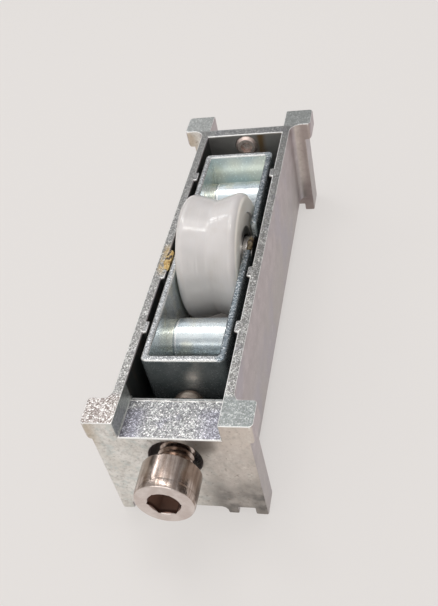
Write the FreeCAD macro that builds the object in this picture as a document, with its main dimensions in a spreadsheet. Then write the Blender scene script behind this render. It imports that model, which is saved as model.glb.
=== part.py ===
import FreeCAD, Part
import math
import os
import Sketcher

# Adjustable needle bearing wheel for a sliding sash, shown with the wheel upwards.
# X is the width, Y runs along the housing away from the adjusting screw, Z is up.
# Each piece is drawn with Y from the housing's front face and Z from the soles of its feet,
# and one shift along Y then centres the whole object on the origin.

# Driving dimensions in millimetres, with slopes and counts as plain numbers
SIZES = {
    # housing casting
    "housing_length": 92.0,
    "housing_width": 20.6,
    "housing_height": 24.0,
    "side_wall": 1.75,
    "side_depth": 20.0,
    "floor_thick": 1.5,
    "plate_overhang": 2.9,
    "plate_fillet": 2.4,
    "front_plate_thick": 4.7,
    "rear_plate_thick": 6.3,
    "front_ear_overhang": 3.9,
    "front_ear_depth": 5.45,
    "rear_ear_overhang": 4.4,
    "ear_height": 4.15,
    "ear_round": 0.85,
    "block_depth": 8.8,
    "ledge_drop": 3.55,
    "lip_run": 1.1,
    "lip_drop": 0.45,
    "rear_wall_thick": 2.75,
    "rear_recess_drop": 6.2,
    "foot_width": 2.2,
    "foot_rise": 1.75,
    "tooth_gap": 2.95,
    "tooth_width": 1.85,
    "recess_round": 1.2,
    "guide_gap": 0.4,
    "rib_width": 2.7,
    "front_rib_lead": 4.4,
    "middle_rib_lead": 10.4,
    "rear_rib_lead": 1.5,
    "window_length": 24.0,
    "window_gap": 1.15,
    "ramp_slope": 0.577,
    "ramp_side_gap": 0.65,
    "ramp_before": 4.5,
    "ramp_after": 3.8,
    "screw_drop": 8.75,
    "hole_room": 1.5,
    # carriage casting
    "front_room": 4.7,
    "rear_room": 7.55,
    "side_room": 1.1,
    "carriage_wall": 1.3,
    "carriage_depth": 12.5,
    "rear_end_depth": 8.5,
    "bar_radius": 4.6,
    "bar_drop": 8.75,
    "front_pocket": 6.6,
    "rear_pocket": 0.6,
    "bar_step": 0.15,
    "bar_seam": 1.6,
    "corner_round": 1.0,
    "edge_chamfer": 0.25,
    "slide_gap": 0.05,
    # axle, wheel and bearing
    "wheel_gap": 3.1,
    "axle_drop": 5.2,
    "axle_diameter": 8.0,
    "axle_inset": 0.05,
    "axle_chamfer": 0.4,
    "slot_gap": 0.05,
    "wheel_diameter": 25.0,
    "wheel_side_gap": 0.25,
    "groove_depth": 1.3,
    "rim_round": 1.4,
    "hub_wall": 2.2,
    "hub_recess": 0.5,
    "shell_wall": 0.46,
    "shell_inset": 0.15,
    "shell_lip": 0.45,
    "lip_gap": 0.4,
    "press_gap": 0.01,
    "needle_diameter": 1.5,
    "needle_end_gap": 0.55,
    "needle_count": 12,
    "roll_gap": 0.02,
    "cage_thick": 0.8,
    "cage_gap": 0.05,
    # screws
    "screw_diameter": 6.0,
    "head_diameter": 10.0,
    "head_length": 6.0,
    "head_gap": 2.5,
    "head_chamfer": 0.35,
    "hex_width": 5.0,
    "hex_depth": 3.6,
    "hex_mouth": 0.3,
    "thread_gap": 0.05,
    "tip_length": 3.25,
    "tip_step": 0.05,
    "tip_shoulder": 0.8,
    "tip_chamfer": 1.3,
    "stem_diameter": 3.0,
    "stem_length": 3.0,
    "set_screw_diameter": 5.0,
    "set_screw_drop": 3.1,
    "set_screw_inside": 0.6,
    "set_screw_outside": 1.0,
    "set_screw_chamfer": 0.5,
    "set_hex_width": 2.5,
    "set_hex_depth": 2.0,
}

doc = FreeCAD.newDocument("AdjustableWheel")
sheet = doc.addObject("Spreadsheet::Sheet", "Dims")
for row, (alias, number) in enumerate(SIZES.items(), start=1):
    sheet.set(f"A{row}", alias)
    sheet.set(f"B{row}", str(number))
    sheet.setAlias(f"B{row}", alias)
doc.recompute()


class Size:
    """A length with both its expression on the sheet and its present value."""

    def __init__(self, text, value):
        self.text = text
        self.value = value

    @staticmethod
    def of(item):
        return item if isinstance(item, Size) else Size(repr(float(item)), float(item))

    def __add__(self, other):
        other = Size.of(other)
        return Size(f"({self.text} + {other.text})", self.value + other.value)

    def __radd__(self, other):
        return Size.of(other) + self

    def __sub__(self, other):
        other = Size.of(other)
        return Size(f"({self.text} - {other.text})", self.value - other.value)

    def __rsub__(self, other):
        return Size.of(other) - self

    def __mul__(self, other):
        other = Size.of(other)
        return Size(f"({self.text} * {other.text})", self.value * other.value)

    def __rmul__(self, other):
        return Size.of(other) * self

    def __truediv__(self, other):
        other = Size.of(other)
        return Size(f"({self.text} / {other.text})", self.value / other.value)

    def __neg__(self):
        return Size(f"(0 - {self.text})", -self.value)

    def root(self):
        return Size(f"sqrt({self.text})", math.sqrt(self.value))


def size(alias):
    return Size(f"Dims.{alias}", float(sheet.get(alias)))


# Places that several pieces share
top = size("housing_height")
half_width = size("housing_width") / 2
inner_half = half_width - size("side_wall")
side_bottom = top - size("side_depth")
floor_top = side_bottom + size("floor_thick")
rear_plate_front = size("housing_length") - size("rear_plate_thick")
rear_wall_front = rear_plate_front - size("rear_wall_thick")
screw_height = top - size("screw_drop")
head_back = -size("head_gap")
head_front = head_back - size("head_length")
centre_shift = -(size("housing_length") + head_front) / 2

# The carriage fills the trough, less the room for its travel
carriage_front = size("block_depth") + size("front_room")
carriage_back = rear_wall_front - size("rear_room")
carriage_outer = inner_half - size("side_room")
carriage_inner = carriage_outer - size("carriage_wall")
bar_height = top - size("bar_drop")
front_bar = carriage_front + size("carriage_wall") + size("front_pocket") + size("bar_radius")
rear_bar = carriage_back - size("carriage_wall") - size("rear_pocket") - size("bar_radius")

# The wheel stands behind the front cross bar, and its bearing is built up from the axle
wheel_radius = size("wheel_diameter") / 2
wheel_half = carriage_inner - size("wheel_side_gap")
axle_place = front_bar + size("bar_radius") + size("wheel_gap") + wheel_radius
axle_height = top - size("axle_drop")
axle_radius = size("axle_diameter") / 2
needle_radius = size("needle_diameter") / 2
needle_pitch = axle_radius + size("roll_gap") + needle_radius
race_radius = needle_pitch + needle_radius + size("roll_gap")
shell_radius = race_radius + size("shell_wall")
shell_half = wheel_half - size("hub_recess") - size("shell_inset")
needle_half = shell_half - size("shell_lip") - size("needle_end_gap")

# The screw ends just short of the carriage, with its loose tip between them
screw_radius = size("screw_diameter") / 2
tip_face = carriage_front - size("slide_gap")
tip_start = tip_face - size("tip_length")
screw_end = tip_start - size("thread_gap")


def make_body(name, y=Size.of(0), z=Size.of(0)):
    """A named piece whose own origin stands at y behind the front face and z above the feet."""
    body = doc.addObject("PartDesign::Body", name)
    body.Label = name
    body.setExpression("Placement.Base.y", (centre_shift + y).text)
    body.setExpression("Placement.Base.z", z.text)
    return body


def make_sketch(body, name, plane, offset=Size.of(0)):
    """A sketch on one of the piece's own planes, moved along that plane's normal."""
    sketch = body.newObject("Sketcher::SketchObject", name)
    support = [item for item in body.Origin.OriginFeatures if item.Role == plane][0]
    sketch.AttachmentSupport = [(support, "")]
    sketch.MapMode = "FlatFace"
    sketch.setExpression("AttachmentOffset.Base.z", offset.text)
    return sketch


def front_sketch(body, name, y=Size.of(0)):
    """A sketch seen from the front, in X and Z, at the depth y."""
    return make_sketch(body, name, "XZ_Plane", -y)


def fix_point(sketch, geometry, point, x, y):
    """Bind one point of a sketch to two expressions."""
    for kind, axis, place in (("DistanceX", -2, Size.of(x)), ("DistanceY", -1, Size.of(y))):
        if place.text == "0.0":
            sketch.addConstraint(Sketcher.Constraint("PointOnObject", geometry, point, axis))
        else:
            rule = sketch.addConstraint(Sketcher.Constraint(kind, -1, 1, geometry, point, place.value))
            sketch.setExpression(f"Constraints[{rule}]", place.text)


def add_outline(sketch, points):
    """A closed outline of straight lines through points given as pairs of sizes."""
    corners = [FreeCAD.Vector(Size.of(x).value, Size.of(y).value, 0) for x, y in points]
    first = sketch.GeometryCount
    count = len(corners)
    for index in range(count):
        sketch.addGeometry(Part.LineSegment(corners[index], corners[(index + 1) % count]))
    for index in range(count):
        following = first + (index + 1) % count
        sketch.addConstraint(Sketcher.Constraint("Coincident", first + index, 2, following, 1))
    for index, (x, y) in enumerate(points):
        fix_point(sketch, first + index, 1, x, y)


def add_rectangle(sketch, x_low, x_high, y_low, y_high):
    add_outline(sketch, [(x_low, y_low), (x_high, y_low), (x_high, y_high), (x_low, y_high)])


def add_circle(sketch, x, y, radius):
    centre = FreeCAD.Vector(Size.of(x).value, Size.of(y).value, 0)
    index = sketch.addGeometry(Part.Circle(centre, FreeCAD.Vector(0, 0, 1), radius.value))
    fix_point(sketch, index, 3, x, y)
    rule = sketch.addConstraint(Sketcher.Constraint("Radius", index, radius.value))
    sketch.setExpression(f"Constraints[{rule}]", radius.text)


def add_hexagon(sketch, x, y, width):
    """A regular hexagon with corners to the left and right, given its width across flats."""
    corner = width / math.sqrt(3)
    turns = [math.radians(60 * step) for step in range(6)]
    add_outline(sketch, [(x + corner * math.cos(a), y + corner * math.sin(a)) for a in turns])


def add_feature(body, kind, name, sketch, length, backwards=False, both_ways=False):
    """A pad or a pocket of a sketch, which must change the piece's volume."""
    before = body.Shape.Volume if body.Tip else 0
    feature = body.newObject(f"PartDesign::{kind}", name)
    feature.Profile = sketch
    feature.setExpression("Length", length.text)
    feature.Reversed = backwards
    if both_ways:
        feature.SideType = "Symmetric"
    doc.recompute()
    change = body.Shape.Volume - before
    if change * (1 if kind == "Pad" else -1) <= 0:
        raise RuntimeError(f"{body.Label} {name} changes nothing")
    return feature


def revolve(body, sketch, axis):
    """A full turn of a sketch about its own horizontal or vertical axis."""
    feature = body.newObject("PartDesign::Revolution", f"{body.Name}_turned")
    feature.Profile = sketch
    feature.ReferenceAxis = (sketch, [axis])
    feature.Angle = 360
    doc.recompute()
    return feature


def dress_edges(body, kind, name, extent, wanted):
    """A fillet or a chamfer on the edges of the piece so far that the test wanted picks."""
    base = body.Tip
    names = [f"Edge{number}" for number, edge in enumerate(base.Shape.Edges, start=1) if wanted(edge)]
    if not names:
        raise RuntimeError(f"{body.Label} {name} finds no edge")
    feature = body.newObject(f"PartDesign::{kind}", name)
    feature.Base = (base, names)
    feature.setExpression("Radius" if kind == "Fillet" else "Size", extent.text)
    doc.recompute()
    return feature


def mirrored(points):
    """An outline from its right half, given from bottom to top, and its mirror image."""
    return points + [(-x, y) for x, y in reversed(points)]


def lies_at(edge, axis, places):
    """Whether a straight edge lies at one of the given places along an axis, 0 for X to 2 for Z."""
    ends = [vertex.Point[axis] for vertex in edge.Vertexes]
    return any(max(abs(end - Size.of(place).value) for end in ends) < 1e-4 for place in places)


def runs_along(edge, axis):
    """Whether an edge is straight and parallel to an axis, 0 for X to 2 for Z."""
    if not isinstance(edge.Curve, Part.Line):
        return False
    return abs(abs(edge.Curve.Direction[axis]) - 1) < 1e-6


def add_end_plate(body, name, y, thick, middle_drop):
    """One end plate of the housing with its feet, its teeth and the recess between them."""
    rise = size("foot_rise")
    plate_half = half_width + size("plate_overhang")
    foot_in = plate_half - size("foot_width")
    tooth_out = foot_in - size("tooth_gap")
    tooth_in = tooth_out - size("tooth_width")
    ear_bottom = top - size("ear_height")
    sketch = front_sketch(body, f"{name}_outline", y)
    right = [
        (tooth_in, rise),
        (tooth_in, Size.of(0)),
        (tooth_out, Size.of(0)),
        (tooth_out, rise),
        (foot_in, rise),
        (foot_in, Size.of(0)),
        (plate_half, Size.of(0)),
        (plate_half, ear_bottom),
        (inner_half, ear_bottom),
        (inner_half, top - middle_drop),
    ]
    add_outline(sketch, mirrored(right))
    add_feature(body, "Pad", name, sketch, thick, backwards=True)

    # Soft corners where the recess between the teeth meets them
    def is_recess_corner(edge):
        inside = runs_along(edge, 1) and lies_at(edge, 0, (tooth_in, -tooth_in))
        return inside and lies_at(edge, 2, (rise,)) and edge.BoundBox.YMin > y.value - 1e-4

    dress_edges(body, "Fillet", f"{name}_recess", size("recess_round"), is_recess_corner)


def add_ears(body, name, y, overhang, depth):
    """The two ears that stand out from the housing's top at one end, with rounded outer corners."""
    sketch = front_sketch(body, f"{name}_outline", y)
    low = top - size("ear_height")
    reach = half_width + overhang
    add_rectangle(sketch, inner_half, reach, low, top)
    add_rectangle(sketch, -reach, -inner_half, low, top)
    add_feature(body, "Pad", name, sketch, depth, backwards=True)

    def is_ear_corner(edge):
        upright = runs_along(edge, 2) and lies_at(edge, 1, (y, y + depth))
        lower = runs_along(edge, 1) and lies_at(edge, 2, (low,))
        return lies_at(edge, 0, (reach, -reach)) and (upright or lower)

    dress_edges(body, "Fillet", f"{name}_corners", size("ear_round"), is_ear_corner)


def ramp_top(bar_place, run):
    """Height of the ramp under a cross bar, at the distance run behind the bar's axis."""
    slope = size("ramp_slope")
    below_bar = (size("bar_radius") + size("slide_gap")) * (1 + slope * slope).root()
    return bar_height - below_bar + run * slope


def make_housing():
    body = make_body("housing")

    # U-shaped trough over the whole length
    sketch = front_sketch(body, "trough_section")
    trough = [
        (half_width, side_bottom),
        (half_width, top),
        (inner_half, top),
        (inner_half, floor_top),
    ]
    add_outline(sketch, mirrored(trough))
    add_feature(body, "Pad", "trough", sketch, size("housing_length"), backwards=True)

    # Front end with the block that the adjusting screw is tapped through
    add_end_plate(body, "front_plate", Size.of(0), size("front_plate_thick"), size("ledge_drop"))
    front_ears = (size("front_ear_overhang"), size("front_ear_depth"))
    add_ears(body, "front_ears", Size.of(0), *front_ears)
    sketch = make_sketch(body, "block_section", "YZ_Plane")
    ledge = top - size("ledge_drop")
    block_back = size("block_depth")
    block = [
        (Size.of(0), side_bottom),
        (block_back, side_bottom),
        (block_back, ledge - size("lip_drop")),
        (block_back - size("lip_run"), ledge),
        (Size.of(0), ledge),
    ]
    add_outline(sketch, block)
    add_feature(body, "Pad", "front_block", sketch, inner_half + half_width, both_ways=True)

    # Rear end, open at the top behind the rear wall
    rear_thick = size("rear_plate_thick")
    sketch = front_sketch(body, "rear_wall_outline", rear_wall_front)
    middle = (inner_half + half_width) / 2
    add_rectangle(sketch, -middle, middle, side_bottom, top)
    add_feature(body, "Pad", "rear_wall", sketch, size("rear_wall_thick"), backwards=True)
    add_end_plate(body, "rear_plate", rear_plate_front, rear_thick, size("rear_recess_drop"))
    add_ears(body, "rear_ears", rear_plate_front, size("rear_ear_overhang"), rear_thick)

    # Upright fillets where the side walls run into the end plates
    def is_plate_corner(edge):
        beside_wall = runs_along(edge, 2) and lies_at(edge, 0, (half_width, -half_width))
        return beside_wall and lies_at(edge, 1, (size("front_plate_thick"), rear_plate_front))

    dress_edges(body, "Fillet", "plate_fillets", size("plate_fillet"), is_plate_corner)

    # Two ramps that the carriage's cross bars climb
    sketch = make_sketch(body, "ramp_sections", "YZ_Plane")
    for bar in (front_bar, rear_bar):
        low = bar - size("ramp_before")
        high = bar + size("ramp_after")
        wedge = [
            (low, side_bottom),
            (high, side_bottom),
            (high, ramp_top(bar, size("ramp_after"))),
            (low, ramp_top(bar, -size("ramp_before"))),
        ]
        add_outline(sketch, wedge)
    ramp_width = (carriage_inner - size("ramp_side_gap")) * 2
    add_feature(body, "Pad", "ramps", sketch, ramp_width, both_ways=True)

    # Upright ribs that guide the carriage between the side walls
    sketch = make_sketch(body, "rib_sections", "XY_Plane", side_bottom)
    rib_face = carriage_outer + size("guide_gap")
    rib_places = [
        front_bar - size("front_rib_lead"),
        axle_place - size("middle_rib_lead"),
        rear_bar - size("rear_rib_lead"),
    ]
    for place in rib_places:
        low = place - size("rib_width") / 2
        high = place + size("rib_width") / 2
        add_rectangle(sketch, rib_face, middle, low, high)
        add_rectangle(sketch, -middle, -rib_face, low, high)
    add_feature(body, "Pad", "guide_ribs", sketch, size("side_depth"))

    # Clearance hole and tapped hole for the adjusting screw
    sketch = front_sketch(body, "clearance_hole_outline")
    add_circle(sketch, Size.of(0), screw_height, screw_radius + size("hole_room"))
    add_feature(body, "Pocket", "clearance_hole", sketch, size("front_plate_thick"))
    sketch = front_sketch(body, "tapped_hole_outline")
    add_circle(sketch, Size.of(0), screw_height, screw_radius + size("thread_gap"))
    add_feature(body, "Pocket", "tapped_hole", sketch, size("block_depth"))

    # Tapped hole for the set screw in the rear wall
    sketch = front_sketch(body, "set_screw_hole_outline", rear_wall_front)
    bore = size("set_screw_diameter") / 2 + size("press_gap")
    add_circle(sketch, Size.of(0), top - size("set_screw_drop"), bore)
    add_feature(body, "Pocket", "set_screw_hole", sketch, size("rear_wall_thick"))

    # Window in the floor below the wheel
    sketch = make_sketch(body, "window_outline", "XY_Plane", floor_top)
    half = wheel_half + size("window_gap")
    low = axle_place - size("window_length") / 2
    add_rectangle(sketch, -half, half, low, low + size("window_length"))
    add_feature(body, "Pocket", "wheel_window", sketch, size("floor_thick"))
    return body


def make_carriage():
    body = make_body("carriage")
    bottom = top - size("carriage_depth")

    # Thin upright walls all round, with rounded corners
    sketch = make_sketch(body, "wall_plan", "XY_Plane", bottom)
    add_rectangle(sketch, -carriage_outer, carriage_outer, carriage_front, carriage_back)
    front_inside = carriage_front + size("carriage_wall")
    back_inside = carriage_back - size("carriage_wall")
    add_rectangle(sketch, -carriage_inner, carriage_inner, front_inside, back_inside)
    add_feature(body, "Pad", "walls", sketch, size("carriage_depth"))

    def is_outer_corner(edge):
        return runs_along(edge, 2) and lies_at(edge, 0, (carriage_outer, -carriage_outer))

    def is_inner_corner(edge):
        return runs_along(edge, 2) and lies_at(edge, 0, (carriage_inner, -carriage_inner))

    dress_edges(body, "Fillet", "outer_corners", size("corner_round"), is_outer_corner)
    dress_edges(body, "Fillet", "inner_corners", size("corner_round") / 3, is_inner_corner)

    # Round cross bars before and behind the wheel, with a step where the casting's cores met
    seam = carriage_inner - size("bar_seam")
    middle = (carriage_outer + carriage_inner) / 2
    sketch = make_sketch(body, "bar_sections", "YZ_Plane")
    for place in (front_bar, rear_bar):
        add_circle(sketch, place, bar_height, size("bar_radius") - size("bar_step"))
    add_feature(body, "Pad", "cross_bars", sketch, middle * 2, both_ways=True)
    sketch = make_sketch(body, "bar_sleeve_sections", "YZ_Plane", -seam)
    for place in (front_bar, rear_bar):
        add_circle(sketch, place, bar_height, size("bar_radius"))
    add_feature(body, "Pad", "bar_sleeves", sketch, seam + middle)

    # The rear end wall stops short, so that it clears the rear ramp
    sketch = front_sketch(body, "rear_end_cut_outline", carriage_back)
    add_rectangle(sketch, -carriage_inner, carriage_inner, bottom, top - size("rear_end_depth"))
    cut_depth = size("carriage_wall") + size("corner_round") / 3
    add_feature(body, "Pocket", "rear_end_cut", sketch, cut_depth, backwards=True)

    # Slots for the axle, open at the top, with a round seat
    slot_half = axle_radius + size("slot_gap")
    sketch = make_sketch(body, "slot_outline", "YZ_Plane")
    add_rectangle(sketch, axle_place - slot_half, axle_place + slot_half, axle_height, top)
    add_feature(body, "Pocket", "slots", sketch, carriage_outer * 2, both_ways=True)
    sketch = make_sketch(body, "seat_outline", "YZ_Plane")
    add_circle(sketch, axle_place, axle_height, slot_half)
    add_feature(body, "Pocket", "seats", sketch, carriage_outer * 2, both_ways=True)

    # Softened top edges
    def is_top_edge(edge):
        box = edge.BoundBox
        return box.ZMin > top.value - 1e-4 and box.XLength + box.YLength > 1e-3

    dress_edges(body, "Chamfer", "top_edges", size("edge_chamfer"), is_top_edge)
    return body


def make_turned(name, y, z, points, axis):
    """A turned piece: an outline revolved about its own axis, placed at y and z."""
    body = make_body(name, y, z)
    sketch = make_sketch(body, f"{name}_section", "XY_Plane")
    add_outline(sketch, points)
    revolve(body, sketch, axis)
    return body


def make_axle():
    half = carriage_outer - size("axle_inset")
    chamfer = size("axle_chamfer")
    section = [
        (-half, Size.of(0)),
        (half, Size.of(0)),
        (half, axle_radius - chamfer),
        (half - chamfer, axle_radius),
        (chamfer - half, axle_radius),
        (-half, axle_radius - chamfer),
    ]
    return make_turned("axle", axle_place, axle_height, section, "H_Axis")


def make_wheel():
    hub_half = wheel_half - size("hub_recess")
    bore = shell_radius + size("press_gap")
    hub = shell_radius + size("hub_wall")
    groove = wheel_radius - size("groove_depth")
    edge = size("rim_round")
    right = [(hub_half, bore), (hub_half, hub), (wheel_half, hub)]
    for angle in (math.radians(turn) for turn in (0, 30, 60, 90)):
        inwards = edge * (1 - math.cos(angle))
        down = edge * (1 - math.sin(angle))
        right.append((wheel_half - inwards, wheel_radius - down))
    section = right + [(Size.of(0), groove)] + [(-x, y) for x, y in reversed(right)]
    return make_turned("wheel", axle_place, axle_height, section, "H_Axis")


def make_bearing_shell():
    inside = shell_half - size("shell_lip")
    lip = axle_radius + size("lip_gap")
    section = [
        (-shell_half, shell_radius),
        (shell_half, shell_radius),
        (shell_half, lip),
        (inside, lip),
        (inside, race_radius),
        (-inside, race_radius),
        (-inside, lip),
        (-shell_half, lip),
    ]
    return make_turned("bearing_shell", axle_place, axle_height, section, "H_Axis")


def make_needle_cage():
    half = shell_half - size("shell_lip") - size("cage_gap")
    inner = needle_pitch - size("cage_thick") / 2
    outer = needle_pitch + size("cage_thick") / 2
    section = [(-half, inner), (half, inner), (half, outer), (-half, outer)]
    body = make_turned("needle_cage", axle_place, axle_height, section, "H_Axis")

    # One window for a needle, then the same all round
    sketch = make_sketch(body, "needle_window_outline", "XY_Plane")
    along = needle_half + size("cage_gap")
    across = needle_radius + size("cage_gap")
    add_rectangle(sketch, -along, along, -across, across)
    window = add_feature(body, "Pocket", "needle_window", sketch, race_radius, backwards=True)
    ring = body.newObject("PartDesign::PolarPattern", "needle_windows")
    ring.Originals = [window]
    ring.Axis = ([item for item in body.Origin.OriginFeatures if item.Role == "X_Axis"][0], [""])
    ring.Angle = 360
    ring.setExpression("Occurrences", size("needle_count").text)
    body.Tip = ring
    doc.recompute()
    return body


def make_needle_rollers():
    """Round needles along X in a ring about the axle, the first one at the top."""
    rollers = []
    count = int(size("needle_count").value)
    for index in range(count):
        angle = 2 * math.pi * index / count
        name = f"needle_roller_{index + 1:02d}"
        roller = doc.addObject("Part::Cylinder", name)
        roller.Label = name
        roller.setExpression("Radius", needle_radius.text)
        roller.setExpression("Height", (needle_half * 2).text)
        roller.Placement.Rotation = FreeCAD.Rotation(FreeCAD.Vector(0, 1, 0), 90)
        roller.setExpression("Placement.Base.x", (-needle_half).text)
        y = centre_shift + axle_place + needle_pitch * math.sin(angle)
        roller.setExpression("Placement.Base.y", y.text)
        roller.setExpression("Placement.Base.z", (axle_height + needle_pitch * math.cos(angle)).text)
        rollers.append(roller)
    return rollers


def make_adjusting_screw():
    head = size("head_diameter") / 2
    chamfer = size("head_chamfer")
    mouth = size("hex_mouth")
    socket_corner = size("hex_width") / math.sqrt(3)
    stem = size("stem_diameter") / 2 + size("thread_gap")
    stem_bottom = screw_end - size("stem_length") - size("thread_gap")
    section = [
        (Size.of(0), head_front + mouth),
        (socket_corner, head_front + mouth),
        (socket_corner + mouth, head_front),
        (head - chamfer, head_front),
        (head, head_front + chamfer),
        (head, head_back),
        (screw_radius, head_back),
        (screw_radius, screw_end),
        (stem, screw_end),
        (stem, stem_bottom),
        (Size.of(0), stem_bottom),
    ]
    body = make_turned("adjusting_screw", Size.of(0), screw_height, section, "V_Axis")
    sketch = front_sketch(body, "socket_outline", head_front)
    add_hexagon(sketch, Size.of(0), Size.of(0), size("hex_width"))
    add_feature(body, "Pocket", "socket", sketch, size("hex_depth"))
    return body


def make_screw_thrust_tip():
    shoulder = tip_start + size("tip_shoulder")
    radius = screw_radius - size("tip_step")
    stem = size("stem_diameter") / 2
    stem_end = screw_end - size("stem_length")
    section = [
        (Size.of(0), stem_end),
        (stem, stem_end),
        (stem, tip_start),
        (radius, tip_start),
        (radius, shoulder),
        (radius - size("tip_chamfer"), tip_face),
        (Size.of(0), tip_face),
    ]
    return make_turned("screw_thrust_tip", Size.of(0), screw_height, section, "V_Axis")


def make_rear_set_screw():
    inside = rear_wall_front - size("set_screw_inside")
    outside = rear_plate_front + size("set_screw_outside")
    radius = size("set_screw_diameter") / 2
    chamfer = size("set_screw_chamfer")
    section = [
        (Size.of(0), inside),
        (radius - chamfer, inside),
        (radius, inside + chamfer),
        (radius, outside - chamfer),
        (radius - chamfer, outside),
        (Size.of(0), outside),
    ]
    body = make_turned("rear_set_screw", Size.of(0), top - size("set_screw_drop"), section, "V_Axis")
    sketch = front_sketch(body, "set_socket_outline", inside)
    add_hexagon(sketch, Size.of(0), Size.of(0), size("set_hex_width"))
    add_feature(body, "Pocket", "set_socket", sketch, size("set_hex_depth"))
    return body


pieces = [
    make_housing(),
    make_carriage(),
    make_axle(),
    make_wheel(),
    make_bearing_shell(),
    make_needle_cage(),
    make_adjusting_screw(),
    make_screw_thrust_tip(),
    make_rear_set_screw(),
]
pieces += make_needle_rollers()
doc.recompute()

# Nothing is written unless every feature and every solid is sound
for item in doc.Objects:
    if "Invalid" in item.State or "Error" in item.State:
        raise RuntimeError(f"{item.Label} did not build")
for piece in pieces:
    shape = piece.Shape
    if shape.isNull() or not shape.isValid() or len(shape.Solids) != 1:
        raise RuntimeError(f"{piece.Label} is not one sound solid")

os.makedirs("parts", exist_ok=True)
for piece in pieces:
    piece.Shape.exportStep(f"parts/{piece.Label}.step")
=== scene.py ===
import bmesh
import bpy
from math import cos, pi, radians, sin
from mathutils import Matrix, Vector


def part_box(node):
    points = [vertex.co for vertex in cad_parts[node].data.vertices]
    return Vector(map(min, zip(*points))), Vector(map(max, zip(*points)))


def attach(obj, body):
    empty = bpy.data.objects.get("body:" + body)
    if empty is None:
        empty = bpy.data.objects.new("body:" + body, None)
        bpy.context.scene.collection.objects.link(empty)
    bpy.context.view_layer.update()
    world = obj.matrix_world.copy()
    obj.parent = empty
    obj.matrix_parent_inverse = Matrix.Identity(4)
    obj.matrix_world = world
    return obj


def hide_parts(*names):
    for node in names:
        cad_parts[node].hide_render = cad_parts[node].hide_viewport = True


# Adjustable needle bearing wheel: cast housing and carriage, turned wheel, threaded screws,
# grease, their finishes, a pale floor, soft light and the camera.
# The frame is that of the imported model, in metres: X across, Y along, Z up.
# Sizes of pieces and places on them are written in millimetres, and MM makes metres of them.

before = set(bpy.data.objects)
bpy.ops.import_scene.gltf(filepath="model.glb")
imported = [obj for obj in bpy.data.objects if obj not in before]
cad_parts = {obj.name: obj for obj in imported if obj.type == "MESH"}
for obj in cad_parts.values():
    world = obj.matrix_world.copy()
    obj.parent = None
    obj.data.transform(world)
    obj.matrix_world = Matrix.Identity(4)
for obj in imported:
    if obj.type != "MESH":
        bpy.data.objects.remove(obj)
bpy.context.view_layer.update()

MM = 0.001
PER_MM = 1000.0
ACROSS = Vector((1, 0, 0))
ALONG = Vector((0, 1, 0))
UP = Vector((0, 0, 1))

# Points nearer than WELD are one point, SLIVER is the width of what cuts leave over, and a point
# nearer than CUT_REACH to a flat cut lies on it
WELD = 0.002 * MM
SLIVER = 0.003 * MM
CUT_REACH = 0.0005 * MM


# Working on a mesh by hand

def select_only(piece):
    bpy.ops.object.select_all(action="DESELECT")
    bpy.context.view_layer.objects.active = piece
    piece.select_set(True)


def start_edit(piece):
    """Open one piece for editing, with all its points selected."""
    select_only(piece)
    bpy.ops.object.mode_set(mode="EDIT")
    bpy.ops.mesh.select_mode(type="VERT")
    bpy.ops.mesh.select_all(action="SELECT")


def end_edit():
    bpy.ops.object.mode_set(mode="OBJECT")


def choose(piece, kind, wanted):
    """Select the points, edges or faces of the open piece that are wanted, and nothing else."""
    bpy.ops.mesh.select_mode(type=kind)
    bpy.ops.mesh.select_all(action="DESELECT")
    shape = bmesh.from_edit_mesh(piece.data)
    for part in {"VERT": shape.verts, "EDGE": shape.edges, "FACE": shape.faces}[kind]:
        if wanted(part):
            part.select_set(True)


def face_outwards():
    """Turn all faces of the open piece outwards."""
    bpy.ops.mesh.select_all(action="SELECT")
    bpy.ops.mesh.normals_make_consistent(inside=False)


def cut_flat(place, outwards):
    """Cut the open piece off at a plane, and close the cut."""
    bpy.ops.mesh.select_all(action="SELECT")
    bpy.ops.mesh.bisect(
        plane_co=place, plane_no=outwards, use_fill=True, clear_outer=True, threshold=CUT_REACH,
    )


def name_piece(name):
    """Name the piece that was just added, and its mesh."""
    piece = bpy.context.object
    piece.name = name
    piece.data.name = name
    return piece


def settle(piece):
    """Put a piece's place and turn into its mesh, so that its object sits at the origin."""
    select_only(piece)
    bpy.ops.object.transform_apply(location=True, rotation=True, scale=True)


def apply_modifier(piece, kind, **settings):
    """Add one modifier with its settings and apply it."""
    select_only(piece)
    modifier = piece.modifiers.new(kind.title(), kind)
    for setting, value in settings.items():
        setattr(modifier, setting, value)
    bpy.ops.object.modifier_apply(modifier=modifier.name)


def cut_or_join(piece, tool, operation):
    """Cut, join or keep the common part of two pieces, and remove the second."""
    apply_modifier(piece, "BOOLEAN", object=tool, operation=operation, solver="EXACT")
    bpy.data.objects.remove(tool)


def merge_slivers(piece):
    """Merge points that cuts have left almost on top of each other."""
    start_edit(piece)
    bpy.ops.mesh.remove_doubles(threshold=SLIVER)
    bpy.ops.mesh.dissolve_degenerate(threshold=SLIVER)
    face_outwards()
    end_edit()


def smooth(piece, angle=34):
    """Shade a piece smooth, with the edges sharper than the angle kept sharp."""
    select_only(piece)
    bpy.ops.object.shade_smooth_by_angle(angle=radians(angle))


def draw_line(name, points):
    """Draw an open line through points by extruding a single vertex."""
    bpy.ops.object.select_all(action="DESELECT")
    bpy.ops.mesh.primitive_plane_add(size=MM)
    piece = name_piece(name)
    start_edit(piece)
    bpy.ops.mesh.merge(type="CENTER")
    bpy.ops.transform.translate(value=points[0])
    for before, after in zip(points, points[1:]):
        bpy.ops.mesh.extrude_vertices_move(TRANSFORM_OT_translate={"value": after - before})
    end_edit()
    return piece


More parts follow.
